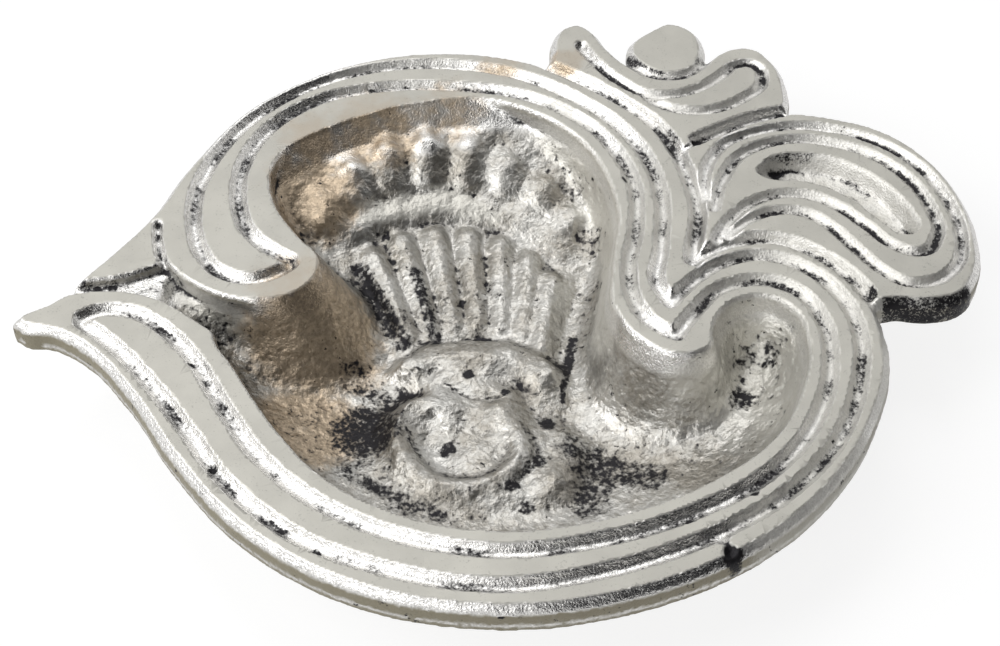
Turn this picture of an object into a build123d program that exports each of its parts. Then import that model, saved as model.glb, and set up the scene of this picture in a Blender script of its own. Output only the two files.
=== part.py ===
"""Aarti lamp in the shape of the Om sign, cast in white metal.

An oil bowl hangs under a grooved border that draws the sign's main stroke. The tail, the crescent and
the dot stand beside it at the same level, and a crowned elephant head is raised from the bowl's floor.

Millimetres, +Z up. The lamp stands on the flat under its bowl: the centre of that flat is the origin.
X runs to the right across the sign and Y to its top.
"""

import os
from math import cos, exp, hypot, radians, sin, sqrt

from build123d import *

os.makedirs("parts", exist_ok=True)

# Levels and thicknesses
HEIGHT = 16.5           # foot to the ridge tops, which are ground to one level
EDGE = 4.5              # thickness of border, tail, crescent and dot
WALL = 3.0              # wall and floor of the bowl
BEVEL = 1.1             # bevel along the outer top edges

# Bowl
FLOOR_RADIUS = 16.0     # flat middle of the floor
DISH_REACH = 49.5       # plan radius at which the floor would rise to the ridge tops
DRAFT = 2.2             # how far the pocket's wall leans in between mouth and floor
COLUMNS = [(-26, 9.5, 7.0), (22, -4, 4.0), (36, 4, 1.2)]    # where it leans in further: hook, waist, lobe
COLUMN_REACH = 10.0     # how far from each of these the extra lean is felt

# Grooves
GROOVE_WIDTH = 2.2      # the two grooves of the border
GROOVE_DEPTH = 1.2
GROOVE_FLOOR = 0.4      # floor of a groove as a share of its width
FINE_WIDTH = 1.8        # the grooves of tail and crescent
FINE_DEPTH = 1.0
VALLEY_WIDTH = 2.4      # the valleys where one stroke of the sign meets the next
VALLEY_DEPTH = 1.5
CREASE_WIDTH = 1.2      # crease from the wick channel up between border and outer edge
SPOUT_DEPTH = 1.7       # wick channel out through the left edge
TAIL_POCKET_DEPTH = 2.8
TAIL_POCKET_DRAFT = 1.3

# Relief in the bowl
CROWN_RISE = 1.0        # crown's ground above the floor of the bowl
BAND_ARC = (-7.0, 12.0, 21.8)       # centre and radius of the smooth band between the two tiers
BAND_SPAN = (38.0, 138.0)
BAND_SECTION = 2.9
BAND_SINK = 0.9         # how far the band's middle lies below the floor of the bowl
UPPER_FLUTES = 8        # broad flutes from the band up the far wall
UPPER_FOOT = (-7.0, 12.0, 24.2, 44.0, 142.0)    # arc they start on: centre, radius, first and last angle
UPPER_HEAD = (-8.0, 22.0, 20.4, 28.0, 152.0)    # arc they end on
UPPER_RADIUS = (3.2, 3.5)
LOWER_FLUTES = 7        # narrow flutes from the brow up to the band
LOWER_FOOT = (-4.5, -2.5, 13.5, 41.0, 127.0)
LOWER_HEAD = (-7.0, 12.0, 16.8, 31.0, 135.0)
LOWER_RADIUS = (1.5, 2.5)
FLUTE_SINK = 0.4        # how far a flute's middle lies below the crown's ground, as a share of its radius
FLUTE_SIDES = 10
HEAD_CENTRE = (-3.2, 0.5)
HEAD_RADIUS = 10.8      # foot and top of the low boss that makes the face
HEAD_CROWN = 6.5
HEAD_RISE = 1.4
HEAD_SINK = 1.0         # how far the boss is let into the floor before it is trimmed
BROW_WIDTH = 4.2
BROW_RISE = 2.2
TRUNK_WIDTH = 3.3
TRUNK_RISE = 2.3
CURL_CENTRE = (-2.4, -12.8)         # round boss that the trunk curls about
CURL_RADIUS = 6.0       # foot and top of that boss
CURL_CROWN = 2.4
CURL_RISE = 1.7
TUSK_WIDTH = 2.6
TUSK_RISE = 1.5
BEAD_SLOPE = 0.27       # how far each side of a raised line leans in, as a share of the width

# Plan of the sign: points that the round strokes pass through
RIM = [
    (-66.3, 0.9), (-65.2, -0.3), (-60, -1.7), (-55, -5.2), (-49, -12.5), (-42, -23.5), (-33, -34.5),
    (-20, -43.3), (0, -47.7), (20, -44), (36, -34.7), (47.5, -20), (52.2, -4), (50.8, 5), (46, 12.5), (38, 17),
    (31.5, 15.9), (28.2, 13.6), (27.1, 14.2), (27.6, 17), (28.3, 22), (27.3, 31), (23.5, 41.5), (16, 49.5),
    (7, 56), (-8, 59.5), (-25, 55.8), (-38, 46), (-45.8, 32.5), (-50.5, 21), (-57, 11), (-61.5, 4.8),
    (-65.4, 2.1),
]
POCKET = [
    (-25.3, 12.5), (-28.6, 17.5), (-32, 23.5), (-33.3, 31), (-30.5, 38), (-24.5, 44), (-16, 47.6), (-7, 48.3),
    (3, 45.7), (10.5, 40), (15, 32), (16.8, 23), (15.8, 12), (15.4, 4), (18.5, -2.2), (24, -5.6), (27.6, -4.6),
    (29.2, 1), (32.2, 4.6), (36.5, 5.4), (40, 3), (41.4, -3), (40, -11), (35.5, -19.8), (27, -27.2),
    (14, -33.2), (0, -35.4), (-12, -33), (-22, -27), (-29, -18.5), (-34.6, -9), (-38.6, -1.5), (-38.8, 2.8),
    (-34.5, 4.5), (-29, 5.6), (-25.6, 9.4),
]
CHANNEL_LOWER = [(-36, -4), (-42, 1.6), (-47, 5), (-53, 6.6), (-58, 6.1), (-64, 3.6)]
CHANNEL_UPPER = [(-64, 6.4), (-58, 8), (-51.5, 9.4), (-46.6, 12)]
CHANNEL_HOOK = [(-46.6, 12), (-42.5, 7.9), (-38, 5.4), (-34, 4.4)]
INNER_GROOVE = [
    (-28.6, 12.4), (-31, 13.8), (-35.5, 18.3), (-37.6, 25), (-37.7, 32), (-34.8, 40), (-28, 47), (-18, 50.4),
    (-7, 50.6), (4, 48.3), (12, 43), (17, 36), (19.5, 28), (19.3, 19), (17.9, 11), (18.3, 5), (20.5, 0.5),
    (24.7, -2.3),
]
INNER_GROOVE_LOW = [
    (23.4, -2.6), (26.2, 2), (30, 6.6), (36, 8.5), (41, 6.3), (43.8, 0.5), (43.8, -8), (40.5, -18), (34, -26.3),
    (25, -32.2), (13, -36.8), (0, -38.6), (-13, -36), (-23, -30.8), (-31, -23), (-36.5, -14), (-41, -6),
    (-46, -0.3), (-50, 2.3), (-54, 2.7), (-57.3, 0.8),
]
OUTER_GROOVE = [
    (-28.6, 12.4), (-31, 10), (-35, 8.7), (-39, 10.2), (-42, 14.5), (-43.5, 20), (-43.8, 26), (-41.8, 34.5),
    (-37.3, 42.8), (-30, 50), (-20, 54.8), (-9, 56), (2, 53.8), (12, 47.5), (18.5, 40.5), (22, 33), (23.3, 25),
    (22.6, 15), (21.8, 8), (23.9, 3.6),
]
OUTER_GROOVE_LOW = [
    (22.8, 3.5), (26.3, 8), (31, 12), (37.5, 13.3), (43, 10.5), (47, 5), (48.5, -2), (47.5, -10), (43.5, -20.5),
    (36, -29.5), (26, -36.3), (14, -41.3), (0, -43.8), (-14, -41.3), (-25, -36.3), (-34, -28.3), (-41, -18),
    (-47, -9.5), (-52, -3.7), (-57.3, 0.8),
]
WAIST_LEFT = (26.4, 12.2)      # the valleys run on a little past the waist's corner
WAIST_BELOW = (26.7, 11.6)
CREASE = [(-48.6, 20.5), (-48.1, 16), (-46.8, 11.5)]
TAIL = [
    (22, 20), (24, 32), (28.6, 37.8), (33, 40.6), (38, 43.2), (43, 44.8), (50, 43.8), (57.5, 40.5), (63.3, 34.3),
    (66.7, 26), (67.7, 17), (66.4, 9.5), (63.5, 5.3), (58.5, 3.9), (54, 4.2), (48, 2), (38, 8), (28, 12),
]
TAIL_OUTER_GROOVE = [
    (29.9, 25), (30.4, 32.5), (33.2, 37.2), (38, 40), (44, 41.3), (50, 40.5), (56, 37.6), (61, 32.6), (64.3, 25),
    (65.2, 17.5), (63.6, 11.4), (60, 8.3), (56.3, 8), (53, 10.5), (50, 14.7), (47, 19.2), (43.6, 22.2),
    (39.5, 22.6), (35, 20.5), (31.8, 17.2),
]
TAIL_INNER_GROOVE = [
    (30.6, 22.5), (32.6, 30), (35.5, 34.8), (40, 37.5), (45, 38.3), (50, 37.2), (55, 34.5), (59.2, 29.8),
    (61.6, 23.5), (61.8, 17.5), (59.2, 14.1), (55.6, 15.3), (52, 19.5), (48.6, 23.4), (44.8, 25.8), (40.5, 26.2),
    (36.5, 24.6), (33.2, 21.4), (30.4, 16.2),
]
TAIL_POCKET = [
    (37, 31), (39.2, 33.8), (43.4, 35), (48, 34.4), (52.5, 31.8), (56.4, 27.6), (59, 22.4), (59.2, 18.6),
    (57.2, 17.6), (55.2, 19.3), (52.6, 23), (48.6, 27), (44, 29), (39.6, 29.4),
]
CRESCENT = [
    (5, 53), (7.6, 58), (7.9, 62), (9.6, 65.6), (12.4, 66.6), (14.6, 65), (17.3, 60), (20.2, 56.2), (24, 53.3),
    (28, 53.3), (31.3, 56.2), (33.3, 58.9), (36.2, 60.6), (39.8, 60.4), (42.7, 56.8), (44, 51), (43.4, 45),
    (40, 40), (34, 36), (26, 35), (18, 38), (10, 46),
]
CRESCENT_UPPER_GROOVE = [
    (12.4, 61.4), (14.4, 57.2), (18, 52.2), (22, 49), (26.4, 48.7), (30.6, 50.4), (34, 53.4), (36.6, 56),
    (39, 56), (40.2, 53.6),
]
CRESCENT_LOWER_GROOVE = [(22, 49), (25, 45.9), (29, 44.8), (33.4, 45.6), (37.2, 48), (40, 51.2), (40.2, 53.6)]
DOT = [
    (19.6, 59.8), (23.2, 64.9), (27, 67), (30.2, 65.3), (32, 59.2), (30.2, 54.8), (26, 53), (22, 54.8),
]
CROWN = [
    (-14.5, 6), (-20, 15), (-26, 24), (-33, 31.5), (-29.5, 41.5), (-20, 48), (-8, 49.5), (4, 47), (12, 40),
    (15, 31), (11.5, 22), (9, 13), (6.5, 5.5), (-4, 9.5),
]
BROW = [(-13, 1.6), (-9.4, 4.6), (-3.3, 5.6), (3, 4.2), (6.6, 0.4)]
CHEEK = [(-8.5, -0.8), (-3.5, -2.2), (1, -4.2)]
TRUNK = [
    (-1.2, -6.6), (2.5, -9), (3.7, -13.2), (1, -17.6), (-5, -19.3), (-10.6, -17), (-13, -11.6), (-12, -6.4),
    (-8.4, -4.4), (-6, -6.8), (-6.6, -9.6),
]
TUSKS = [[(0.6, -5.4), (4.6, -7.2), (8.2, -10.6), (9.2, -14)], [(0.5, -19.6), (5, -19.4), (8.6, -15.2)]]

# Worked out from the above
UNDERSIDE = HEIGHT - EDGE
DEPTH = HEIGHT - WALL
DISH_RUN = DISH_REACH - FLOOR_RADIUS
DISH_RADIUS = (DISH_RUN**2 + DEPTH**2) / (2 * DEPTH)


def mirrored(tangent, chord):
    """Direction in which an arc that sets out along tangent reaches the far end of its chord."""
    along = chord.normalized()
    return along * (2 * tangent.dot(along)) - tangent


def tangents_at(points, closed):
    """Direction at every point, taken from the circle through it and its two neighbours."""
    last = len(points) - 1
    found = []
    for index, point in enumerate(points):
        before = point - points[index - 1]
        after = points[(index + 1) % len(points)] - point
        found.append((before / before.length**2 + after / after.length**2).normalized())
    if not closed:
        found[0] = mirrored(found[1], points[1] - points[0])
        found[last] = mirrored(found[last - 1], points[last] - points[last - 1])
    return found


def tangent_arc(start, end, tangent):
    """One arc of a chain, or a line where the chain runs straight."""
    if abs(tangent.cross((end - start).normalized()).Z) < 1e-4:
        Line(start, end)
    else:
        TangentArc(start, end, tangent=tangent)


def arcs_through(plan_points, closed=False, level=0.0):
    """Chain of tangent arcs through the points, two arcs to a span, for the line being drawn."""
    points = [Vector(x, y, level) for x, y in plan_points]
    tangents = tangents_at(points, closed)
    spans = len(points) if closed else len(points) - 1
    for index in range(spans):
        follow = (index + 1) % len(points)
        start, end = points[index], points[follow]
        leave, arrive = tangents[index], tangents[follow]
        span = end - start
        turn = 2 * (1 - leave.dot(arrive))
        lean = span.dot(leave + arrive)
        if turn < 1e-9:
            arm = span.dot(span) / (2 * lean)
        else:
            arm = (sqrt(lean**2 + turn * span.dot(span)) - lean) / turn
        middle = (start + end + (leave - arrive) * arm) / 2
        tangent_arc(start, middle, leave)
        tangent_arc(middle, end, mirrored(leave, middle - start))


def pocket_foot():
    """Plan points of the pocket's wall at the floor, where it runs out round hook, waist and lobe."""
    points = [Vector(x, y) for x, y in POCKET]
    foot = []
    for point, heading in zip(points, tangents_at(points, closed=True)):
        lean = DRAFT
        for x, y, extra in COLUMNS:
            lean += extra * exp(-(((point - Vector(x, y)).length / COLUMN_REACH) ** 2))
        foot.append((point.X + heading.Y * lean, point.Y - heading.X * lean))
    return foot


def closed_outline(plan_points, level, grow=0.0):
    """Flat face inside a closed chain of arcs, grown or shrunk all round."""
    with BuildSketch(Plane.XY.offset(level)) as outline:
        with BuildLine():
            arcs_through(plan_points, closed=True)
        make_face()
        if grow:
            offset(amount=grow)
    return outline.sketch


def plate(plan_points):
    """Flat stroke of the sign, bevelled along its top edge."""
    with BuildPart() as slab:
        extrude(closed_outline(plan_points, UNDERSIDE), amount=EDGE - BEVEL)
        shoulder = closed_outline(plan_points, HEIGHT - BEVEL)
        loft([shoulder, closed_outline(plan_points, HEIGHT, -BEVEL)], ruled=True)
    return slab.part


def dish_section(floor_level, top_level, radius):
    """Half section of the dish: a flat floor that rises along an arc."""
    rise = top_level - floor_level
    run = sqrt(radius**2 - (radius - rise) ** 2)
    with BuildSketch(Plane.XZ) as section:
        with BuildLine():
            Line((0, floor_level), (FLOOR_RADIUS, floor_level))
            RadiusArc((FLOOR_RADIUS, floor_level), (FLOOR_RADIUS + run, top_level), -radius)
            Line((FLOOR_RADIUS + run, top_level), (0, top_level))
            Line((0, top_level), (0, floor_level))
        make_face()
    return section.sketch


def dish_level(x, y):
    """Height of the bowl's floor at a plan point."""
    climb = max(hypot(x, y) - FLOOR_RADIUS, 0.0)
    return WALL + DISH_RADIUS - sqrt(DISH_RADIUS**2 - climb**2)


def on_dish(x, y, sink=0.0):
    """Point on the bowl's floor, or so far below it, at a plan point."""
    return Vector(x, y, dish_level(x, y) - sink)


def arc_points(arc, count):
    """Plan points evenly spread on an arc, given as its centre, radius and first and last angle."""
    x, y, radius, first, last = arc
    angles = [radians(first + (last - first) * index / (count - 1)) for index in range(count)]
    return [(x + radius * cos(angle), y + radius * sin(angle)) for angle in angles]


def swept(plan_points, level, section):
    """Solid that follows a chain of arcs, with an upright section given as points across and up."""
    with BuildLine() as path:
        arcs_through(plan_points, level=level)
    start = path.line @ 0
    heading = path.line % 0
    with BuildPart() as run:
        with BuildSketch(Plane(start, x_dir=Vector(0, 0, 1).cross(heading), z_dir=heading)):
            with BuildLine():
                Polyline(*section, close=True)
            make_face()
        sweep(path=path.line)
    return run.part


def groove_cutter(plan_points, width, depth):
    """Cutter for a groove with sloping sides and a narrow floor, let down from the ridge tops."""
    half = width / 2
    floor = half * GROOVE_FLOOR
    over = half + (half - floor)
    return swept(plan_points, HEIGHT, [(-over, depth), (-floor, -depth), (floor, -depth), (over, depth)])


def bead(plan_points, width, rise):
    """Raised line on the floor of the bowl, let into it before it is trimmed."""
    foot = width / 2 + width * BEAD_SLOPE * HEAD_SINK / rise
    top = width / 2 - width * BEAD_SLOPE
    return swept(plan_points, WALL, [(-foot, -HEAD_SINK), (foot, -HEAD_SINK), (top, rise), (-top, rise)])


def flute_tier(foot_arc, head_arc, count, radii):
    """Tier of blunt-headed flutes half sunk in the crown's ground, each from one arc to the next."""
    with BuildPart() as tier:
        for foot_point, head_point in zip(arc_points(foot_arc, count), arc_points(head_arc, count)):
            foot = on_dish(*foot_point, sink=radii[0] * FLUTE_SINK - CROWN_RISE)
            head = on_dish(*head_point, sink=radii[1] * FLUTE_SINK - CROWN_RISE)
            along = (head - foot).normalized()
            across = Vector(0, 0, 1).cross(along)
            tip = head + along * radii[1] * 0.9
            with BuildSketch(Plane(foot, x_dir=across, z_dir=along)):
                RegularPolygon(radii[0], FLUTE_SIDES)
            with BuildSketch(Plane(head, x_dir=across, z_dir=along)):
                RegularPolygon(radii[1], FLUTE_SIDES)
            with BuildSketch(Plane(tip, x_dir=across, z_dir=along)):
                RegularPolygon(radii[1] * 0.45, FLUTE_SIDES)
            loft(ruled=True)
    return tier.part


def channel_outline(level, grow=0.0):
    """Narrow end of the pocket, drawn on as the wick channel through the left edge."""
    with BuildSketch(Plane.XY.offset(level)) as outline:
        with BuildLine():
            arcs_through(CHANNEL_LOWER)
            Line(CHANNEL_LOWER[-1], CHANNEL_UPPER[0])
            arcs_through(CHANNEL_UPPER)
            arcs_through(CHANNEL_HOOK)
            Line(CHANNEL_HOOK[-1], CHANNEL_LOWER[0])
        make_face()
        if grow:
            offset(amount=grow)
    return outline.sketch


# Wick channel: as deep as the dish near the bowl, and of even depth out to the edge
with BuildPart() as channel:
    revolve(dish_section(WALL, HEIGHT, DISH_RADIUS), axis=Axis.Z)
    with Locations((CHANNEL_UPPER[1][0], CHANNEL_UPPER[1][1], HEIGHT)):
        Box(2 * DISH_RUN, DISH_RUN, SPOUT_DEPTH, align=(Align.CENTER, Align.CENTER, Align.MAX))
    extrude(channel_outline(UNDERSIDE - EDGE), amount=2 * EDGE, mode=Mode.INTERSECT)

# Space inside the bowl: drafted pocket wall down to the dished floor, and the channel
with BuildPart() as cavity:
    loft([closed_outline(POCKET, HEIGHT), closed_outline(pocket_foot(), WALL)], ruled=True)
    revolve(dish_section(WALL, HEIGHT, DISH_RADIUS), axis=Axis.Z, mode=Mode.INTERSECT)
    add(channel.part)

border_cutters = [
    groove_cutter(INNER_GROOVE, GROOVE_WIDTH, GROOVE_DEPTH),
    groove_cutter(INNER_GROOVE_LOW, GROOVE_WIDTH, GROOVE_DEPTH),
    groove_cutter(OUTER_GROOVE, GROOVE_WIDTH, GROOVE_DEPTH),
    groove_cutter(OUTER_GROOVE_LOW, GROOVE_WIDTH, GROOVE_DEPTH),
    groove_cutter(CREASE, CREASE_WIDTH, FINE_DEPTH),
]
seam_cutters = [
    groove_cutter([*RIM[13:17], WAIST_LEFT], VALLEY_WIDTH, VALLEY_DEPTH),
    groove_cutter([WAIST_BELOW, *RIM[19:25]], VALLEY_WIDTH, VALLEY_DEPTH),
    groove_cutter(TAIL[2:6], VALLEY_WIDTH, VALLEY_DEPTH),
]

# Border: the sign's main stroke, two grooves between three ridges
with BuildPart() as border:
    add(plate(RIM))
    add(cavity.part, mode=Mode.SUBTRACT)
    for cutter in border_cutters:
        add(cutter, mode=Mode.SUBTRACT)
    for cutter in seam_cutters:
        add(cutter, mode=Mode.SUBTRACT)
border.part.label = "border"
export_step(border.part, "parts/border.step")

# Bowl under the border, standing on its own flat
with BuildPart() as bowl:
    loft([closed_outline(POCKET, UNDERSIDE, WALL), closed_outline(POCKET, 0, WALL - DRAFT)], ruled=True)
    extrude(channel_outline(UNDERSIDE - EDGE, WALL), amount=EDGE)
    revolve(dish_section(0, UNDERSIDE, DISH_RADIUS + WALL), axis=Axis.Z, mode=Mode.INTERSECT)
    add(cavity.part, mode=Mode.SUBTRACT)
bowl.part.label = "bowl"
export_step(bowl.part, "parts/bowl.step")

# Tail: a grooved comma with a pocket of its own, against the border's outer edge
with BuildPart() as tail:
    add(plate(TAIL))
    extrude(closed_outline(RIM, UNDERSIDE), amount=EDGE, mode=Mode.SUBTRACT)
    tail_floor = closed_outline(TAIL_POCKET, HEIGHT - TAIL_POCKET_DEPTH, -TAIL_POCKET_DRAFT)
    loft([closed_outline(TAIL_POCKET, HEIGHT), tail_floor], ruled=True, mode=Mode.SUBTRACT)
    add(groove_cutter(TAIL_OUTER_GROOVE, FINE_WIDTH, FINE_DEPTH), mode=Mode.SUBTRACT)
    add(groove_cutter(TAIL_INNER_GROOVE, FINE_WIDTH, FINE_DEPTH), mode=Mode.SUBTRACT)
    for cutter in seam_cutters:
        add(cutter, mode=Mode.SUBTRACT)
tail.part.label = "tail"
export_step(tail.part, "parts/tail.step")

# Crescent over border and tail
with BuildPart() as crescent:
    add(plate(CRESCENT))
    extrude(closed_outline(RIM, UNDERSIDE), amount=EDGE, mode=Mode.SUBTRACT)
    extrude(closed_outline(TAIL, UNDERSIDE), amount=EDGE, mode=Mode.SUBTRACT)
    add(groove_cutter(CRESCENT_UPPER_GROOVE, FINE_WIDTH, FINE_DEPTH), mode=Mode.SUBTRACT)
    add(groove_cutter(CRESCENT_LOWER_GROOVE, FINE_WIDTH, FINE_DEPTH), mode=Mode.SUBTRACT)
    for cutter in seam_cutters:
        add(cutter, mode=Mode.SUBTRACT)
crescent.part.label = "crescent"
export_step(crescent.part, "parts/crescent.step")

# Dot in the hollow of the crescent
with BuildPart() as dot:
    add(plate(DOT))
    extrude(closed_outline(CRESCENT, UNDERSIDE), amount=EDGE, mode=Mode.SUBTRACT)
dot.part.label = "dot"
export_step(dot.part, "parts/dot.step")

# Crown: two tiers of flutes with a band between them, raised from the dish
with BuildPart() as crown:
    extrude(closed_outline(CROWN, 0), amount=HEIGHT)
    revolve(dish_section(WALL + CROWN_RISE, HEIGHT + CROWN_RISE, DISH_RADIUS), axis=Axis.Z, mode=Mode.SUBTRACT)
    add(flute_tier(UPPER_FOOT, UPPER_HEAD, UPPER_FLUTES, UPPER_RADIUS))
    add(flute_tier(LOWER_FOOT, LOWER_HEAD, LOWER_FLUTES, LOWER_RADIUS))
    with BuildLine() as band_path:
        ThreePointArc([on_dish(*point, sink=BAND_SINK) for point in arc_points((*BAND_ARC, *BAND_SPAN), 3)])
    with BuildSketch(Plane(band_path.line @ 0, z_dir=band_path.line % 0)):
        Circle(BAND_SECTION)
    sweep(path=band_path.line)
    add(cavity.part, mode=Mode.INTERSECT)
crown.part.label = "crown"
export_step(crown.part, "parts/crown.step")

# Head: a low boss under an arched brow, with the trunk curled round a boss below it, and tusks
with BuildPart() as head_relief:
    with Locations((*HEAD_CENTRE, WALL - HEAD_SINK)):
        Cone(HEAD_RADIUS, HEAD_CROWN, HEAD_RISE + HEAD_SINK, align=(Align.CENTER, Align.CENTER, Align.MIN))
    with Locations((*CURL_CENTRE, WALL - HEAD_SINK)):
        Cone(CURL_RADIUS, CURL_CROWN, CURL_RISE + HEAD_SINK, align=(Align.CENTER, Align.CENTER, Align.MIN))
    add(bead(BROW, BROW_WIDTH, BROW_RISE))
    add(bead(CHEEK, TUSK_WIDTH, HEAD_RISE + HEAD_SINK))
    add(bead(TRUNK, TRUNK_WIDTH, TRUNK_RISE))
    for tusk in TUSKS:
        add(bead(tusk, TUSK_WIDTH, TUSK_RISE))
    add(cavity.part, mode=Mode.INTERSECT)
    add(crown.part, mode=Mode.SUBTRACT)
head_relief.part.label = "head_relief"
export_step(head_relief.part, "parts/head_relief.step")
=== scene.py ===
"""Aarti lamp in the shape of the Om sign: cast white metal, ground ridge tops, blackened recesses.

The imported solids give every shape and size. Copies of them are cast over with one rough skin, ground flat on top
where the real lamp is, stained, and cut at one level into two pieces. Frame: metres, +Z up.
"""

import logging
import math
from dataclasses import dataclass
from enum import Enum
from typing import Any

import bmesh
import bpy
import numpy as np
from mathutils import Matrix, Vector


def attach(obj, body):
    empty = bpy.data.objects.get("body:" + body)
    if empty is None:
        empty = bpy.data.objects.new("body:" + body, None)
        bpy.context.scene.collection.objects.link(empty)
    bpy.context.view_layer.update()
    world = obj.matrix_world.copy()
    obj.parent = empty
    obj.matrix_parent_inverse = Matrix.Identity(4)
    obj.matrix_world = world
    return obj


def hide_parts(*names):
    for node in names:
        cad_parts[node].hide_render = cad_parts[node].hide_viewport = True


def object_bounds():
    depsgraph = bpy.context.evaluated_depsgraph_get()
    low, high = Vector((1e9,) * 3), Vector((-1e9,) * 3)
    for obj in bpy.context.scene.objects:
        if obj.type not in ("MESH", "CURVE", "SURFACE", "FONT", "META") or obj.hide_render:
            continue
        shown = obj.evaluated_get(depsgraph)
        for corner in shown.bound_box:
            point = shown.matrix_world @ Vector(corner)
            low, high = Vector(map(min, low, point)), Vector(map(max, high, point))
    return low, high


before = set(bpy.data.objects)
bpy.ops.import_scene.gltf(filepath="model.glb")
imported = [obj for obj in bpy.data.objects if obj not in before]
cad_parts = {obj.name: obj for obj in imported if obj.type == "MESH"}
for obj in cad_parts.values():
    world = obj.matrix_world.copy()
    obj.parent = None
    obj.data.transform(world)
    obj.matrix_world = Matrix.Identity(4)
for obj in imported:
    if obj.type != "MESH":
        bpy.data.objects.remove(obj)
CAD_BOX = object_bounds()

MM = 0.001
PHOTO_WIDTH_PX = 1000.0
GROUND_LEVEL_MM = 16.5

# Heights above the foot: where the zones of the bowl end, and where floor, head and ridges lie.
FLARED_MM = (12.2, 13.6)
INSIDE_MM = (12.6, 13.6)
SHELTERED_MM = (14.8, 16.2)
FLOOR_MM = (2.5, 9.0)
HEAD_MM = (2.5, 7.0)
RIDGE_FOOT_MM = GROUND_LEVEL_MM - 3.0

# Middles of the head and of the crown's band in the plan, and how far they reach.
HEAD_CENTRE_MM = (-4.0, -8.0)
HEAD_REACH_MM = 17.0
BAND_CENTRE_MM = (-7.0, 12.0)
BAND_EDGE_MM = (18.0, 22.0)

Colour = tuple[float, float, float]
Place = tuple[float, float, float]
Way = tuple[tuple[float, float], ...]
Socket = bpy.types.NodeSocket

log = logging.getLogger("aarti_lamp")


class Part(Enum):
    """Members of the lamp, by the names of their CAD nodes."""

    BORDER = "border"
    TAIL = "tail"
    CRESCENT = "crescent"
    DOT = "dot"
    BOWL = "bowl"
    CROWN = "crown"
    HEAD = "head_relief"


@dataclass(frozen=True)
class Stain:
    """Patch of soot, tarnish, or wear and painted highlight on the metal, placed in the frame in millimetres."""

    centre: Place
    radius: float
    strength: float


@dataclass(frozen=True)
class Flaw:
    """Pit in the ridge tops, in millimetres; where its depth is negative the metal is raised."""

    x: float
    y: float
    radius: float
    depth: float


@dataclass(frozen=True)
class Swelling:
    """Low rounded rise in the floor of the bowl, with its reach along X and Y and its height in millimetres."""

    x: float
    y: float
    reach_x: float
    reach_y: float
    height: float


@dataclass(frozen=True)
class Crease:
    """Line pressed into the floor of the bowl, with half its width and its depth in millimetres.

    Where its depth is negative it is a raised cord.
    """

    way: Way
    reach: float
    depth: float


@dataclass(frozen=True)
class SoftBox:
    """Soft square lamp of the studio, in metres and watts."""

    name: str
    place: Place
    side: float
    watts: float


@dataclass(frozen=True)
class CastFinish:
    """Finish of the cast metal: bright silver, pale ground tops, dull bowl, black oxide, brown tarnish.

    Colours are linear RGB.
    """

    name: str
    silver: Colour = (0.66, 0.65, 0.63)
    ground: Colour = (0.51, 0.497, 0.45)
    wall: Colour = (0.25, 0.222, 0.150)
    inner: Colour = (0.47, 0.462, 0.438)
    haze: Colour = (0.27, 0.252, 0.22)
    oxide: Colour = (0.020, 0.019, 0.021)
    tarnish: Colour = (0.42, 0.335, 0.24)
    # Pale worn colour: a duller rubbed finish on the border, and painted highlight on the bowl's walls, lobe and
    # crown band.
    worn_and_lit: Colour = (0.62, 0.605, 0.555)
    wall_film: float = 0.95
    outer_wear: float = 0.55
    # Share of the worn colour inside the bowl, where the patches are painted highlight.
    inner_highlight: float = 0.8
    groove_gain: float = 1.9
    recess_gain: float = 2.0
    outer_spots: float = 0.62
    inner_spots: float = 0.60
    silver_roughness: float = 0.26
    inner_roughness: float = 0.36
    film_roughness: float = 0.48
    oxide_roughness: float = 0.45
    ground_roughness: float = 0.55
    inner_metal: float = 0.80
    worn_and_lit_metal: float = 0.7
    wall_metal: float = 0.25
    tarnish_metal: float = 0.55
    oxide_metal: float = 0.6
    ground_metal: float = 0.45
    grain_mm: float = 0.28
    peel_mm: float = 0.62
    bump_mm: float = 0.14
    grain_bump: float = 0.7


@dataclass(frozen=True)
class CastSkin:
    """Texture left by the sand, in millimetres, and how far corners were rounded, in steps."""

    voxel: float = 0.32
    quick_growth: float = 1.6
    flare: int = 160
    soften: int = 4
    inner_soften: int = 12
    upper_soften: int = 40
    groove_steps: int = 1
    relief_steps: int = 8
    grain_height: float = 0.24
    grain_size: float = 0.8
    lump_height: float = 0.6
    lump_size: float = 1.7
    swell_height: float = 0.25
    swell_size: float = 5.0
    seed: int = 3


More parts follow.
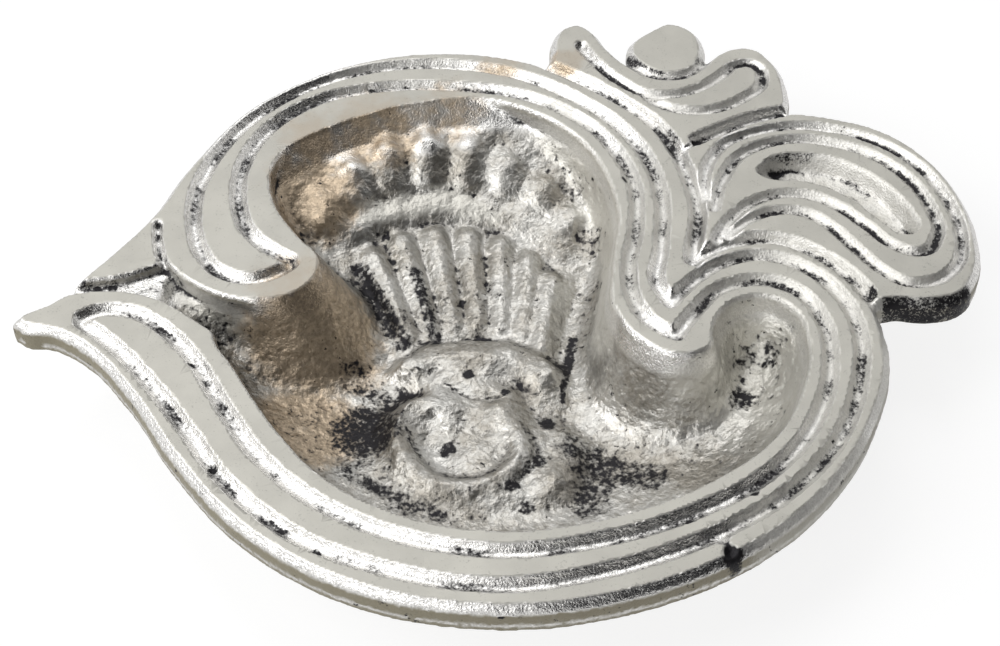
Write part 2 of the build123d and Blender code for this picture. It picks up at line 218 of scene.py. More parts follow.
class NodeDesk:
    """Adds nodes to one tree and joins them as it goes."""

    def __init__(self, tree: bpy.types.NodeTree) -> None:
        """Keeps the tree that the nodes go into."""
        self.tree = tree

    @classmethod
    def cleared(cls, holder: bpy.types.Material | bpy.types.World) -> "NodeDesk":
        """Empties the node tree of a material or a world.

        Args:
            holder: the material or the world.

        Returns:
            A desk for its tree.
        """
        holder.use_nodes = True
        holder.node_tree.nodes.clear()
        return cls(holder.node_tree)

    def add(self, kind: str, sockets: dict[Any, Any] | None = None, **settings: Any) -> bpy.types.Node:
        """Adds one node.

        Args:
            kind: Blender's name for the node.
            sockets: values or output sockets by input name or number.
            settings: the node's own properties.

        Returns:
            The new node.
        """
        node = self.tree.nodes.new(kind)
        for key, value in settings.items():
            setattr(node, key, value)
        for key, value in (sockets or {}).items():
            socket = self.find(node, key)
            if isinstance(value, Socket):
                self.tree.links.new(value, socket)
            else:
                socket.default_value = value
        return node

    @staticmethod
    def find(node: bpy.types.Node, key: Any) -> Socket:
        """The input socket of that number, or the first one in use of that name."""
        named = (s for s in node.inputs if s.name == key and s.enabled)
        return node.inputs[key] if isinstance(key, int) else next(named)

    def math(self, operation: str, first: Any, second: Any = 0.0) -> Socket:
        """Result of one sum on one or two numbers."""
        return self.add("ShaderNodeMath", {0: first, 1: second}, operation=operation).outputs[0]

    def weighted(self, first: Any, share: float, second: Any, rest: float) -> Socket:
        """Sum of two numbers, each times its share."""
        return self.math("ADD", self.math("MULTIPLY", first, share), self.math("MULTIPLY", second, rest))

    def vector(self, operation: str, first: Any, second: Any, result: str = "Vector") -> Socket:
        """Result of one sum on two vectors, or on a vector and a number for SCALE."""
        place = 3 if operation == "SCALE" else 1
        return self.add("ShaderNodeVectorMath", {0: first, place: second}, operation=operation).outputs[result]

    def upward(self, normal: Any) -> Socket:
        """How far a normal points up."""
        return self.add("ShaderNodeSeparateXYZ", {0: normal}).outputs[2]

    def ramp(self, value: Any, low: Any, high: Any, start: Any = 0.0, end: Any = 1.0) -> Socket:
        """Smooth step from start to end as a value goes from low to high."""
        sockets = {0: value, 1: low, 2: high, 3: start, 4: end}
        return self.add("ShaderNodeMapRange", sockets, interpolation_type="SMOOTHSTEP").outputs[0]

    def noise(self, where: Any, scale: Any, detail: float, roughness: float, seed: Any) -> Socket:
        """Value of a noise field, about 0 to 1, at places in millimetres."""
        sockets = {"Vector": where, "W": seed, "Scale": scale, "Detail": detail, "Roughness": roughness}
        return self.add("ShaderNodeTexNoise", sockets, noise_dimensions="4D").outputs[0]

    def blend(self, share: Any, first: Any, second: Any) -> Socket:
        """Colour between two colours."""
        sockets = {0: share, 6: first, 7: second}
        return self.add("ShaderNodeMix", sockets, data_type="RGBA").outputs[2]

    def between(self, share: Any, first: Any, second: Any) -> Socket:
        """Number between two numbers."""
        return self.add("ShaderNodeMix", {0: share, 2: first, 3: second}, data_type="FLOAT").outputs[0]


def opaque(colour: Colour) -> tuple[float, float, float, float]:
    """A colour with full alpha."""
    return (*colour, 1.0)


class CastMetal:
    """Material of the cast metal, made from a finish and from what the casting keeps on its mesh."""

    def __init__(self, finish: CastFinish) -> None:
        """Makes the noises and the zones that colour, roughness and metal share.

        Args:
            finish: the finish.
        """
        self.finish = finish
        self.material = bpy.data.materials.new(finish.name)
        self.desk = desk = NodeDesk.cleared(self.material)
        where = desk.vector("SCALE", desk.add("ShaderNodeTexCoord").outputs["Object"], 1.0 / MM)
        self.blotch = desk.noise(where, 0.14, 4.0, 0.6, 1.0)
        self.patch = desk.noise(where, 0.5, 3.0, 0.6, 2.0)
        self.speck = desk.noise(where, 1.3, 3.0, 0.7, 3.0)
        self.fine = desk.noise(where, 1.0 / finish.grain_mm, 2.0, 0.6, 4.0)
        self.peel = desk.noise(where, 1.0 / finish.peel_mm, 2.0, 0.5, 5.0)
        self.ground = self.attribute("ground")
        self.inside = self.attribute("inside")
        self.walls = self.film()
        # Worn patches kept on the mesh: rubbed metal on the border, painted highlight inside the bowl.
        self.wear_and_highlight = self.ragged("wear_and_highlight", self.patch, 0.5, 0.1, 0.7)
        self.tarnish = self.ragged("tarnish", self.patch, 0.9, 0.15, 0.75)
        self.black = self.oxide()

    def build(self) -> bpy.types.Material:
        """Joins colour, roughness, metal and grain in one shader.

        Returns:
            The material.
        """
        sockets = {
            "Base Color": self.colour(),
            "Roughness": self.roughness(),
            "Metallic": self.metal(),
            "Specular IOR Level": self.desk.between(self.black, 0.5, 0.15),
            "Normal": self.bump(),
        }
        shader = self.desk.add("ShaderNodeBsdfPrincipled", sockets).outputs[0]
        self.desk.add("ShaderNodeOutputMaterial", {"Surface": shader})
        return self.material

    def colour(self) -> Socket:
        """Lays the colours over each other, from the bare skin to the ground tops.

        Returns:
            The colour.
        """
        desk, finish = self.desk, self.finish
        bright = desk.ramp(self.fine, 0.25, 0.75, 0.72, 1.2)
        outer = desk.blend(self.walls, desk.vector("SCALE", finish.silver, bright), opaque(finish.wall))
        hazy = desk.ramp(desk.weighted(self.blotch, 0.7, self.speck, 0.3), 0.36, 0.64)
        inner = desk.blend(hazy, opaque(finish.inner), opaque(finish.haze))
        inner = desk.vector("SCALE", inner, desk.ramp(self.peel, 0.25, 0.75, 0.85, 1.12))
        colour = desk.blend(self.inside, outer, inner)
        # Pale worn colour laid over the skin: painted highlight inside the bowl, a rubbed finish on the border.
        worn_and_lit = desk.math("MULTIPLY", self.wear_and_highlight, desk.between(self.inside, finish.outer_wear, finish.inner_highlight))
        colour = desk.blend(worn_and_lit, colour, opaque(finish.worn_and_lit))
        brown = desk.vector("SCALE", finish.tarnish, desk.ramp(self.speck, 0.3, 0.7, 0.75, 1.3))
        colour = desk.blend(self.tarnish, colour, brown)
        colour = desk.blend(self.black, colour, opaque(finish.oxide))
        return desk.blend(self.ground, colour, self.ground_colour())

    def ground_colour(self) -> Socket:
        """Mottles the ground tops with dust and a trace of tarnish.

        Returns:
            The colour.
        """
        desk, finish = self.desk, self.finish
        dusty = desk.math("ADD", self.fine, desk.math("MULTIPLY", self.patch, 0.5))
        dust = desk.ramp(dusty, 0.86, 1.0, 1.0, 0.72)
        mottled = desk.math("MULTIPLY", desk.ramp(self.blotch, 0.3, 0.7, 0.92, 1.05), dust)
        pale = desk.vector("SCALE", finish.ground, mottled)
        return desk.blend(desk.math("MULTIPLY", self.tarnish, 0.45), pale, opaque(finish.tarnish))

    def roughness(self) -> Socket:
        """Sets how dull each zone is.

        Returns:
            The roughness.
        """
        desk, finish = self.desk, self.finish
        dull = desk.between(self.inside, finish.silver_roughness, finish.inner_roughness)
        dull = desk.between(desk.math("MAXIMUM", self.walls, self.wear_and_highlight), dull, finish.film_roughness)
        dull = desk.between(self.black, dull, finish.oxide_roughness)
        return desk.between(self.ground, dull, finish.ground_roughness)

    def metal(self) -> Socket:
        """Sets how far each zone reflects as bare metal.

        Returns:
            The metallic share.
        """
        finish = self.finish
        metal = self.desk.between(self.inside, 1.0, finish.inner_metal)
        for zone, share in (
            (self.wear_and_highlight, finish.worn_and_lit_metal),
            (self.walls, finish.wall_metal),
            (self.tarnish, finish.tarnish_metal),
            (self.black, finish.oxide_metal),
            (self.ground, finish.ground_metal),
        ):
            metal = self.desk.between(zone, metal, share)
        return metal

    def bump(self) -> Socket:
        """Roughens the skin with its grain, which all but ends on the ground tops.

        Returns:
            The normal.
        """
        desk, finish = self.desk, self.finish
        relief = desk.between(self.inside, self.fine, desk.math("MULTIPLY", self.peel, 1.7))
        relief = desk.math("MULTIPLY", relief, desk.ramp(self.ground, 0.0, 1.0, 1.0, 0.05))
        sockets = {"Strength": finish.grain_bump, "Distance": finish.bump_mm * MM, "Height": relief}
        return desk.add("ShaderNodeBump", sockets).outputs[0]

    def attribute(self, name: str) -> Socket:
        """Value of one of the mesh's own attributes."""
        return self.desk.add("ShaderNodeAttribute", attribute_name=name, attribute_type="GEOMETRY").outputs["Fac"]

    def film(self) -> Socket:
        """Lays a dull film on upright walls outside the bowl.

        Returns:
            How far the film covers the metal.
        """
        desk = self.desk
        upward = desk.upward(desk.add("ShaderNodeNewGeometry").outputs["Normal"])
        open_side = desk.math("SUBTRACT", 1.0, self.attribute("sheltered"))
        return desk.math("MULTIPLY", desk.ramp(upward, 0.2, 0.5, self.finish.wall_film, 0.0), open_side)

    def oxide(self) -> Socket:
        """Blackens crevices and pits, scattered spots and the places where soot lies.

        Returns:
            How black the metal is, next to nothing on the ground tops.
        """
        desk, finish, inside = self.desk, self.finish, self.inside
        grain = desk.between(inside, self.fine, self.peel)
        broad = desk.math("MULTIPLY", self.attribute("hollow"), 0.25)
        gain = desk.between(inside, finish.groove_gain, finish.recess_gain)
        gain = desk.math("MULTIPLY", gain, desk.ramp(self.blotch, 0.40, 0.60, 0.45, 1.35))
        depth = desk.math("MULTIPLY", desk.math("ADD", self.attribute("recess"), broad), gain)
        small = desk.weighted(self.speck, 0.4, grain, 0.6)
        uneven = desk.math("MULTIPLY", desk.math("SUBTRACT", small, 0.5), 0.75)
        crevice = desk.ramp(desk.math("ADD", depth, uneven), 0.13, 0.36)
        large = desk.weighted(self.patch, 0.55, self.speck, 0.45)
        edge = desk.between(inside, finish.outer_spots, finish.inner_spots)
        edge = desk.math("SUBTRACT", edge, desk.math("MULTIPLY", self.walls, 0.05))
        spots = desk.ramp(desk.math("SUBTRACT", large, edge), 0.0, 0.05)
        soot = self.ragged("soot", desk.weighted(large, 0.55, grain, 0.45), 2.8, 0.40, 0.85)
        black = desk.math("MAXIMUM", desk.math("MAXIMUM", crevice, spots), soot)
        return desk.math("MULTIPLY", black, desk.math("SUBTRACT", 1.0, desk.math("MULTIPLY", self.ground, 0.97)))

    def ragged(self, name: str, noise: Any, gain: float, low: float, high: float) -> Socket:
        """Breaks up the edges of the stains kept on the mesh.

        Args:
            name: the stains' attribute.
            noise: what breaks them up.
            gain: how strongly it does.
            low: value up to which the metal stays bare.
            high: value from which it is covered.

        Returns:
            How far the metal is covered; not at all where the mesh keeps no stain.
        """
        desk = self.desk
        share = self.attribute(name)
        broken = desk.math("MULTIPLY", desk.math("SUBTRACT", noise, 0.5), gain)
        shown = desk.ramp(desk.math("ADD", share, broken), low, high)
        return desk.math("MULTIPLY", shown, desk.ramp(share, 0.02, 0.25))


class Tree:
    """A node tree for meshes, with named inputs."""

    INPUTS: tuple[tuple[str, str], ...] = ()

    def __init__(self, name: str) -> None:
        """Makes the tree and its inputs, then lays out its nodes.

        Args:
            name: the tree's name.
        """
        self.tree = bpy.data.node_groups.new(name, "GeometryNodeTree")
        self.tree.is_modifier = True
        self.identifiers: dict[str, str] = {}
        face = self.tree.interface
        face.new_socket("Geometry", in_out="INPUT", socket_type="NodeSocketGeometry")
        for label, kind in self.INPUTS:
            self.identifiers[label] = face.new_socket(label, in_out="INPUT", socket_type=kind).identifier
        face.new_socket("Geometry", in_out="OUTPUT", socket_type="NodeSocketGeometry")
        self.desk = NodeDesk(self.tree)
        self.given = self.desk.add("NodeGroupInput").outputs
        self.position = self.desk.add("GeometryNodeInputPosition").outputs[0]
        self.normal = self.desk.add("GeometryNodeInputNormal").outputs[0]
        self.build()

    def build(self) -> None:
        """Lays out the nodes."""
        raise NotImplementedError

    def moved(self, body: Any, **sockets: Any) -> Socket:
        """The geometry with its points moved to a Position or by an Offset."""
        return self.desk.add("GeometryNodeSetPosition", {"Geometry": body, **sockets}).outputs[0]

    def blurred(self, steps: Any, weight: Any = 1.0) -> Socket:
        """Averages every point's place with its neighbours'.

        Args:
            steps: how many times.
            weight: how far each point takes part.

        Returns:
            The new places.
        """
        sockets = {"Value": self.position, "Iterations": steps, "Weight": weight}
        node = self.desk.add("GeometryNodeBlurAttribute", sockets, data_type="FLOAT_VECTOR")
        return next(s for s in node.outputs if s.enabled)

    def level(self) -> Socket:
        """Every point's height."""
        return self.desk.add("ShaderNodeSeparateXYZ", {0: self.position}).outputs[2]

    def inside(self, body: Any, low: float, high: float) -> Socket:
        """Measures how far each point lies inside the bowl.

        Args:
            body: the geometry.
            low: level in millimetres up to which it counts in full.
            high: level from which it no longer counts.

        Returns:
            1 on the floor and the walls of the bowl, 0 on the border and on the outside.
        """
        desk = self.desk
        start = desk.vector("ADD", self.position, desk.vector("SCALE", self.normal, 0.5 * MM))
        level = desk.vector("MULTIPLY", self.normal, (1.0, 1.0, 0.0))
        covered, faced = (
            desk.add(
                "GeometryNodeRaycast", {"Target Geometry": body, "Source Position": start, "Ray Direction": way}
            ).outputs["Is Hit"]
            for way in ((0.0, 0.0, 1.0), level)
        )
        held = desk.math("MAXIMUM", desk.ramp(desk.upward(self.normal), 0.35, 0.6), faced)
        deep = desk.ramp(self.level(), low * MM, high * MM, 1.0, 0.0)
        hidden = desk.math("MULTIPLY", covered, desk.math("SUBTRACT", 1.0, faced))
        return desk.math("MULTIPLY", desk.math("MULTIPLY", deep, held), desk.math("SUBTRACT", 1.0, hidden))

    def finished(self, body: Any) -> None:
        """Ends the tree in plain geometry with its material set.

        Args:
            body: the geometry.
        """
        desk = self.desk
        body = desk.add("GeometryNodeSetShadeSmooth", {"Geometry": body}).outputs[0]
        body = desk.add("GeometryNodeRealizeInstances", {"Geometry": body}).outputs[0]
        body = desk.add("GeometryNodeSetMaterial", {"Geometry": body, "Material": self.given["Material"]}).outputs[0]
        desk.add("NodeGroupOutput", {"Geometry": body})

    def run(self, obj: bpy.types.Object, values: dict[str, Any]) -> bpy.types.Mesh:
        """Runs the tree on an object.

        Args:
            obj: object that holds the mesh.
            values: the tree's inputs by name.

        Returns:
            The result as a plain mesh.
        """
        modifier = obj.modifiers.new(self.tree.name, "NODES")
        modifier.node_group = self.tree
        for label, value in values.items():
            modifier[self.identifiers[label]] = value
        return evaluated_mesh(obj)


class FlareTree(Tree):
    """Rounds the foot of the pocket's wall into the floor of the bowl."""

    INPUTS = (("Flare", "NodeSocketInt"), ("Material", "NodeSocketMaterial"))

    def build(self) -> None:
        """Blurs the inside of the bowl and leaves the rest."""
        body = self.given["Geometry"]
        self.finished(self.moved(body, Position=self.blurred(self.given["Flare"], self.inside(body, *FLARED_MM))))


class SkinTree(Tree):
    """Turns a smooth body into a casting: softened, grained, ground on top, measured for oxide."""

    INPUTS = (
        ("Soften", "NodeSocketInt"),
        ("Inner Soften", "NodeSocketInt"),
        ("Upper Soften", "NodeSocketInt"),
        ("Grain Height", "NodeSocketFloat"),
        ("Grain Size", "NodeSocketFloat"),
        ("Lump Height", "NodeSocketFloat"),
        ("Lump Size", "NodeSocketFloat"),
        ("Swell Height", "NodeSocketFloat"),
        ("Swell Size", "NodeSocketFloat"),
        ("Ground Level", "NodeSocketFloat"),
        ("Seed", "NodeSocketFloat"),
        ("Material", "NodeSocketMaterial"),
    )
    RECESS_STEPS = 6
    HOLLOW_STEPS = 40

    def build(self) -> None:
        """Lays out the nodes from the smooth body to the finished skin."""
        desk, given = self.desk, self.given
        body = given["Geometry"]
        body = self.stored(body, "sheltered", self.inside(body, *SHELTERED_MM))
        body = self.stored(body, "inside", self.inside(body, *INSIDE_MM))
        inside = desk.add("GeometryNodeInputNamedAttribute", {"Name": "inside"}, data_type="FLOAT").outputs[0]
        body = self.moved(body, Position=self.blurred(given["Soften"]))
        body = self.moved(body, Position=self.blurred(given["Inner Soften"], inside))
        upper = desk.math("MULTIPLY", inside, self.beyond_band())
        body = self.moved(body, Position=self.blurred(given["Upper Soften"], upper))
        rough = desk.math("MULTIPLY", self.roughness(inside), MM)
        body = self.moved(body, Offset=desk.vector("SCALE", self.normal, rough))
        over = desk.math("DIVIDE", desk.math("SUBTRACT", self.level(), given["Ground Level"]), MM)
        body = self.stored(body, "ground", desk.ramp(over, -0.10, 0.0))
        least, most = (tuple(corner) for corner in CAD_BOX)
        kept = desk.vector("MINIMUM", desk.vector("MAXIMUM", self.position, least), most)
        body = self.moved(body, Position=kept)
        body = self.stored(body, "recess", self.hollowness(self.RECESS_STEPS))
        body = self.stored(body, "hollow", self.hollowness(self.HOLLOW_STEPS))
        self.finished(body)

    def beyond_band(self) -> Socket:
        """Measures which points lie outside the band of the crown.

        Returns:
            1 beyond the band, 0 on it and below it.
        """
        desk = self.desk
        away = desk.vector("SUBTRACT", self.position, (BAND_CENTRE_MM[0] * MM, BAND_CENTRE_MM[1] * MM, 0.0))
        away = desk.vector("MULTIPLY", away, (1.0, 1.0, 0.0))
        low, high = BAND_EDGE_MM
        return desk.ramp(desk.vector("LENGTH", away, (0.0, 0.0, 0.0), "Value"), low * MM, high * MM)

    def texture(self, name: str, detail: float, roughness: float, later: float = 0.0) -> Socket:
        """Makes one of the skin's textures.

        Args:
            name: what its inputs begin with.
            detail: octaves of its noise.
            roughness: weight of the finer ones.
            later: added to the seed, so that textures differ.

        Returns:
            Its height in millimetres, about zero.
        """
        desk, given = self.desk, self.given
        where = desk.vector("SCALE", self.position, 1.0 / MM)
        scale = desk.math("DIVIDE", 1.0, given[name + " Size"])
        noise = desk.noise(where, scale, detail, roughness, desk.math("ADD", given["Seed"], later))
        return desk.math("MULTIPLY", desk.math("SUBTRACT", noise, 0.5), given[name + " Height"])

    def roughness(self, inside: Any) -> Socket:
        """Adds up grain, long swells and the bowl's lumps; the ridge tops stand a little proud.

        Args:
            inside: 1 inside the bowl.

        Returns:
            Height of the skin in millimetres.
        """
        desk = self.desk
        even = desk.math("ADD", self.texture("Grain", 3.0, 0.6), self.texture("Swell", 1.0, 0.5, 7.0))
        upward = desk.ramp(desk.upward(self.normal), 0.75, 0.95)
        near_top = desk.ramp(self.level(), (GROUND_LEVEL_MM - 0.5) * MM, (GROUND_LEVEL_MM - 0.2) * MM)
        proud = desk.math("MULTIPLY", desk.math("MULTIPLY", upward, near_top), self.given["Grain Height"])
        lumps = desk.math("MULTIPLY", self.texture("Lump", 2.0, 0.55, 13.0), inside)
        return desk.math("ADD", desk.math("ADD", even, proud), lumps)

    def hollowness(self, steps: int) -> Socket:
        """How far a point lies below its neighbourhood, in millimetres."""
        lift = self.desk.vector("SUBTRACT", self.blurred(steps), self.position)
        return self.desk.math("DIVIDE", self.desk.vector("DOT_PRODUCT", lift, self.normal, "Value"), MM)

    def stored(self, body: Any, name: str, value: Any) -> Socket:
        """The geometry with a number kept on every point."""
        sockets = {"Geometry": body, "Name": name, "Value": value}
        return self.desk.add("GeometryNodeStoreNamedAttribute", sockets, data_type="FLOAT", domain="POINT").outputs[0]

    def cast(self, smooth: bpy.types.Object, skin: CastSkin, material: bpy.types.Material) -> bpy.types.Mesh:
        """Casts the skin over a body.

        Args:
            smooth: object with the smooth body.
            skin: texture of the casting.
            material: finish to set.

        Returns:
            A plain mesh with the skin and its attributes.
        """
        values = {
            "Soften": skin.soften,
            "Inner Soften": skin.inner_soften,
            "Upper Soften": skin.upper_soften,
            "Grain Height": skin.grain_height,
            "Grain Size": skin.grain_size,
            "Lump Height": skin.lump_height,
            "Lump Size": skin.lump_size,
            "Swell Height": skin.swell_height,
            "Swell Size": skin.swell_size,
            "Ground Level": GROUND_LEVEL_MM * MM,
            "Seed": float(skin.seed),
            "Material": material,
        }
        return self.run(smooth, values)


def evaluated_mesh(obj: bpy.types.Object) -> bpy.types.Mesh:
    """Applies an object's modifiers and removes them from it.

    Args:
        obj: the object.

    Returns:
        The result as a plain mesh.
    """
    bpy.context.view_layer.update()
    graph = bpy.context.evaluated_depsgraph_get()
    mesh = bpy.data.meshes.new_from_object(obj.evaluated_get(graph))
    obj.modifiers.clear()
    return mesh


def new_object(name: str, mesh: bpy.types.Mesh) -> bpy.types.Object:
    """Puts a mesh into the scene.

    Args:
        name: the object's name.
        mesh: the mesh.

    Returns:
        The object.
    """
    obj = bpy.data.objects.new(name, mesh)
    bpy.context.scene.collection.objects.link(obj)
    return obj


def mesh_of(shell: bmesh.types.BMesh, name: str) -> bpy.types.Mesh:
    """Writes a shell out as a new mesh and lets go of it.

    Args:
        shell: the shell.
        name: the mesh's name.

    Returns:
        The mesh.
    """
    mesh = bpy.data.meshes.new(name)
    shell.to_mesh(mesh)
    shell.free()
    return mesh


def node_mesh(part: Part) -> bpy.types.Mesh:
    """Copies a CAD node's mesh and merges its loose triangles.

    Args:
        part: the member.

    Returns:
        The copy.
    """
    shell = bmesh.new()
    shell.from_mesh(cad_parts[part.value].data)
    bmesh.ops.remove_doubles(shell, verts=shell.verts, dist=1e-6)
    return mesh_of(shell, part.value + "_copy")


def joined(*meshes: bpy.types.Mesh) -> bpy.types.Mesh:
    """Puts several meshes into one.

    Args:
        meshes: the meshes.

    Returns:
        The mesh that holds them all.
    """
    shells = bmesh.new()
    for mesh in meshes:
        shells.from_mesh(mesh)
    return mesh_of(shells, "joined")


def square(name: str, side: float, placing: Matrix) -> bpy.types.Object:
    """Puts a flat square into the scene, with its place in its mesh.

    Args:
        name: the object's name.
        side: length of its side in metres.
        placing: where it goes.

    Returns:
        The object.
    """
    shape = bmesh.new()
    bmesh.ops.create_grid(shape, x_segments=1, y_segments=1, size=side / 2)
    bmesh.ops.transform(shape, matrix=placing, verts=shape.verts)
    return new_object(name, mesh_of(shape, name))


def read(items: Any, key: str, width: int = 1, kind: type = np.float32) -> np.ndarray:
    """Reads one property of all points, edges, corners or faces of a mesh.

    Args:
        items: the points, edges, corners or faces, or the values of an attribute.
        key: the property.
        width: how many numbers each item has.
        kind: type of the numbers.

    Returns:
        The numbers, a row to an item where each has several.
    """
    values = np.empty(len(items) * width, kind)
    items.foreach_get(key, values)
    return values.reshape(-1, width) if width > 1 else values


def points_of(mesh: bpy.types.Mesh) -> np.ndarray:
    """Places of a mesh's points, one to a row."""
    return read(mesh.vertices, "co", 3)


def upward_of(mesh: bpy.types.Mesh) -> np.ndarray:
    """How far the normal at each of a mesh's points points up."""
    return read(mesh.vertices, "normal", 3)[:, 2]


def largest_shell(mesh: bpy.types.Mesh) -> bpy.types.Mesh:
    """Clears a mesh of the small shells that a remesh may leave.

    Args:
        mesh: the mesh, which is changed.

    Returns:
        The same mesh.
    """
    shell = bmesh.new()
    shell.from_mesh(mesh)
    left = set(shell.verts)
    islands = []
    while left:
        seed = left.pop()
        island, front = {seed}, [seed]
        while front:
            point = front.pop()
            for edge in point.link_edges:
                other = edge.other_vert(point)
                if other not in island:
                    island.add(other)
                    front.append(other)
        left -= island
        islands.append(island)
    islands.sort(key=len, reverse=True)
    stray = [point for island in islands[1:] for point in island]
    bmesh.ops.delete(shell, geom=stray, context="VERTS")
    shell.to_mesh(mesh)
    shell.free()
    return mesh


def thinned(mesh: bpy.types.Mesh, most: int) -> bpy.types.Mesh:
    """Thins a mesh; flats lose their triangles first.

    Args:
        mesh: the mesh.
        most: how many triangles it may have.

    Returns:
        The thinner mesh, or the same one where it is thin enough.
    """
    mesh.calc_loop_triangles()
    triangles = len(mesh.loop_triangles)
    if triangles <= most:
        return mesh
    helper = new_object("helper", mesh)
    thin = helper.modifiers.new("thin", "DECIMATE")
    thin.ratio = most / triangles
    made = evaluated_mesh(helper)
    bpy.data.objects.remove(helper)
    log.info("thinned from %d to %d triangles", triangles, len(made.polygons))
    return made


def boxed(mesh: bpy.types.Mesh) -> bpy.types.Mesh:
    """Keeps a mesh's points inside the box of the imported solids.

    Args:
        mesh: the mesh, which is changed.

    Returns:
        The same mesh.
    """
    least, most = (np.array(tuple(corner), np.float32) for corner in CAD_BOX)
    mesh.vertices.foreach_set("co", np.clip(points_of(mesh), least, most).ravel())
    return mesh


class SplitNormals:
    """Carries the whole casting's normals over to the pieces cut from it."""

    NORMAL = "whole_normal"
    SKIN = "skin_face"
    FLAT = "ground_face"

    @classmethod
    def keep(cls, mesh: bpy.types.Mesh) -> None:
        """Keeps smooth normals on the points; ground flats are left out of them, so that their edges stay crisp.

        Args:
            mesh: the whole casting.
        """
        starts = read(mesh.polygons, "loop_start", kind=np.int32)
        totals = read(mesh.polygons, "loop_total", kind=np.int32)
        normals = read(mesh.polygons, "normal", 3)
        corners = read(mesh.loops, "vertex_index", kind=np.int32)
        lowest = np.minimum.reduceat(points_of(mesh)[corners, 2], starts)
        flat = (normals[:, 2] > 0.999) & (lowest > (GROUND_LEVEL_MM - 0.004) * MM)
        weights = np.where(flat, 1e-6, 1.0) * read(mesh.polygons, "area")
        spread = np.repeat(normals * weights[:, None], totals, axis=0)
        summed = np.zeros((len(mesh.vertices), 3))
        np.add.at(summed, corners, spread)
        summed /= np.maximum(np.linalg.norm(summed, axis=1, keepdims=True), 1e-20)
        whole = mesh.attributes.new(cls.NORMAL, "FLOAT_VECTOR", "POINT")
        whole.data.foreach_set("vector", summed.astype(np.float32).ravel())
        for name, chosen in ((cls.SKIN, np.ones_like(flat)), (cls.FLAT, flat)):
            mesh.attributes.new(name, "INT", "FACE").data.foreach_set("value", chosen.astype(np.int32))

    @classmethod
    def apply(cls, mesh: bpy.types.Mesh) -> None:
        """Puts the kept normals on the skin; ground flats and the faces of a cut stay flat.

        Args:
            mesh: a piece of the casting.
        """
        kept = read(mesh.attributes[cls.NORMAL].data, "vector", 3)
        skin, flat = (read(mesh.attributes[name].data, "value", kind=np.int32) for name in (cls.SKIN, cls.FLAT))
        corners = read(mesh.loops, "vertex_index", kind=np.int32)
        totals = read(mesh.polygons, "loop_total", kind=np.int32)
        faces = np.repeat(read(mesh.polygons, "normal", 3), totals, axis=0)
        own = np.repeat((skin == 0) | (flat == 1), totals)
        normals = np.where(own[:, None], faces, kept[corners])
        normals /= np.maximum(np.linalg.norm(normals, axis=1, keepdims=True), 1e-9)
        for name in (cls.NORMAL, cls.SKIN, cls.FLAT):
            mesh.attributes.remove(mesh.attributes[name])
        mesh.shade_smooth()
        mesh.normals_split_custom_set([tuple(row) for row in normals.tolist()])


